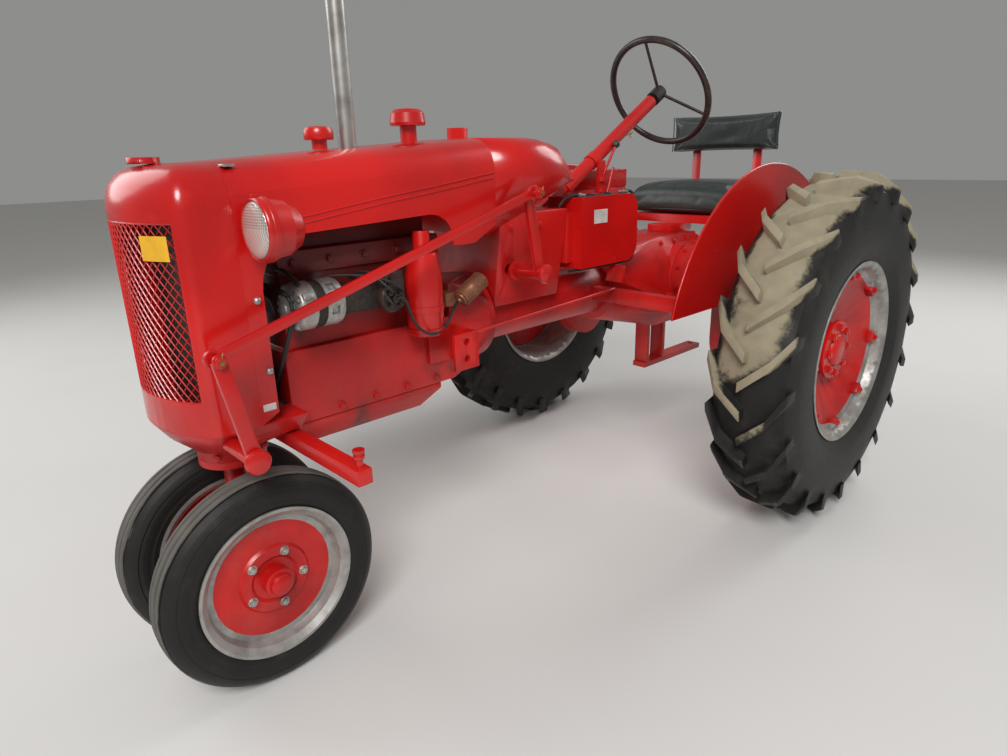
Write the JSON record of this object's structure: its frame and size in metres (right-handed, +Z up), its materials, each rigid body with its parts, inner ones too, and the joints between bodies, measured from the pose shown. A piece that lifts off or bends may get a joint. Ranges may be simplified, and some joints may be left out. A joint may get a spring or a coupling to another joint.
{
  "type": "vintage row-crop tractor",
  "caption": "Red vintage row-crop tractor with a narrow twin-wheel front, lugged rear tyres, open engine bay, mesh grille, bench seat and implement lift linkage.",
  "frame": {"origin": "on the ground, at the middle of the tractor's length and width", "axes": "+Y from the front towards the back, +X to the driver's left, +Z up"},
  "size_m": [1.781, 2.8568, 2.0603],
  "materials": {
    "red_paint": "gloss",
    "tyre_front": "matt",
    "tyre_rear": "matt",
    "black_paint": "satin",
    "cast_iron": "rough",
    "alternator_metal": "satin",
    "exhaust_steel": "satin",
    "coil_paint": "satin",
    "seat_vinyl": "satin",
    "wheel_rubber": "worn gloss",
    "battery_plastic": "matt"
  },
  "bodies": {
    "chassis": {"radiator_shell": "red_paint", "grille": "red_paint", "radiator_core": "black_paint", "hood": "red_paint", "fuel_tank": "red_paint", "headlamp_left": "red_paint", "headlamp_right": "red_paint", "engine_block": "red_paint", "oil_pan": "red_paint", "manifold": "cast_iron", "alternator": "alternator_metal", "fan": "black_paint", "air_cleaner": "red_paint", "exhaust_pipe": "exhaust_steel", "intake_cap": "red_paint", "ignition_coil": "coil_paint", "front_pedestal": "red_paint", "torque_tube": "red_paint", "tank_support": "red_paint", "gearbox": "red_paint", "rear_axle_left": "red_paint", "rear_axle_right": "red_paint", "fender_left": "red_paint", "fender_right": "red_paint", "foot_rest_left": "red_paint", "foot_rest_right": "red_paint", "seat_frame": "red_paint", "seat_cushion": "seat_vinyl", "back_pad": "seat_vinyl", "steering_column": "red_paint", "battery_box": "red_paint", "battery": "battery_plastic", "control_post": "red_paint", "tool_bar_front": "red_paint", "side_bracket_left": "red_paint", "side_bracket_right": "red_paint", "brake_pedals": "red_paint", "drawbar": "red_paint"},
    "front_spindle": {"front_spindle": "red_paint"},
    "front_wheel_left": {"front_wheel_left": "red_paint", "front_tyre_left": "tyre_front"},
    "front_wheel_right": {"front_wheel_right": "red_paint", "front_tyre_right": "tyre_front"},
    "rear_wheel_left": {"rear_wheel_left": "red_paint", "rear_tyre_left": "tyre_rear"},
    "rear_wheel_right": {"rear_wheel_right": "red_paint", "rear_tyre_right": "tyre_rear"},
    "steering_wheel": {"steering_wheel": "wheel_rubber"},
    "lift_arm_rear": {"lift_arm_rear": "red_paint"},
    "lift_rod": {"lift_rod": "red_paint"},
    "lift_arm_front": {"lift_arm_front": "red_paint"}
  },
  "joints": [
    {"name": "front_steering", "type": "hinge", "parent": "chassis", "child": "front_spindle", "pos_m": [0, -1.13, 0.6], "axis": [0, 0, 1], "range_deg": [-60, 60]},
    {"name": "front_wheel_left_spin", "type": "hinge", "parent": "front_spindle", "child": "front_wheel_left", "pos_m": [0.136, -1.13, 0.297], "axis": [1, 0, 0], "continuous": true},
    {"name": "front_wheel_right_spin", "type": "hinge", "parent": "front_spindle", "child": "front_wheel_right", "pos_m": [-0.136, -1.13, 0.297], "axis": [1, 0, 0], "continuous": true},
    {"name": "rear_wheel_left_spin", "type": "hinge", "parent": "chassis", "child": "rear_wheel_left", "pos_m": [0.752, 0.794, 0.633], "axis": [1, 0, 0], "continuous": true},
    {"name": "rear_wheel_right_spin", "type": "hinge", "parent": "chassis", "child": "rear_wheel_right", "pos_m": [-0.752, 0.794, 0.633], "axis": [1, 0, 0], "continuous": true},
    {"name": "steering_wheel_turn", "type": "hinge", "parent": "chassis", "child": "steering_wheel", "pos_m": [0, 0.776, 1.567], "axis": [0, 0.8572, 0.515], "range_deg": [-720, 720]},
    {"name": "lift", "type": "hinge", "parent": "chassis", "child": "lift_arm_rear", "pos_m": [0.28, -0.234, 0.997], "axis": [1, 0, 0], "range_deg": [-30, 35]},
    {"name": "lift_rod_eye", "type": "hinge", "parent": "lift_arm_rear", "child": "lift_rod", "pos_m": [0.298, -0.28075, 1.2375], "axis": [1, 0, 0], "range_deg": [-35, 30]},
    {"name": "lift_front", "type": "hinge", "parent": "chassis", "child": "lift_arm_front", "pos_m": [0.3, -1.199, 0.714], "axis": [1, 0, 0], "range_deg": [-30, 35]}
  ],
  "couplings": [
    {"joint": "steering_wheel_turn", "follows": "front_steering", "ratio": 12},
    {"joint": "lift_rod_eye", "follows": "lift", "ratio": -1},
    {"joint": "lift_front", "follows": "lift", "ratio": 1}
  ]
}
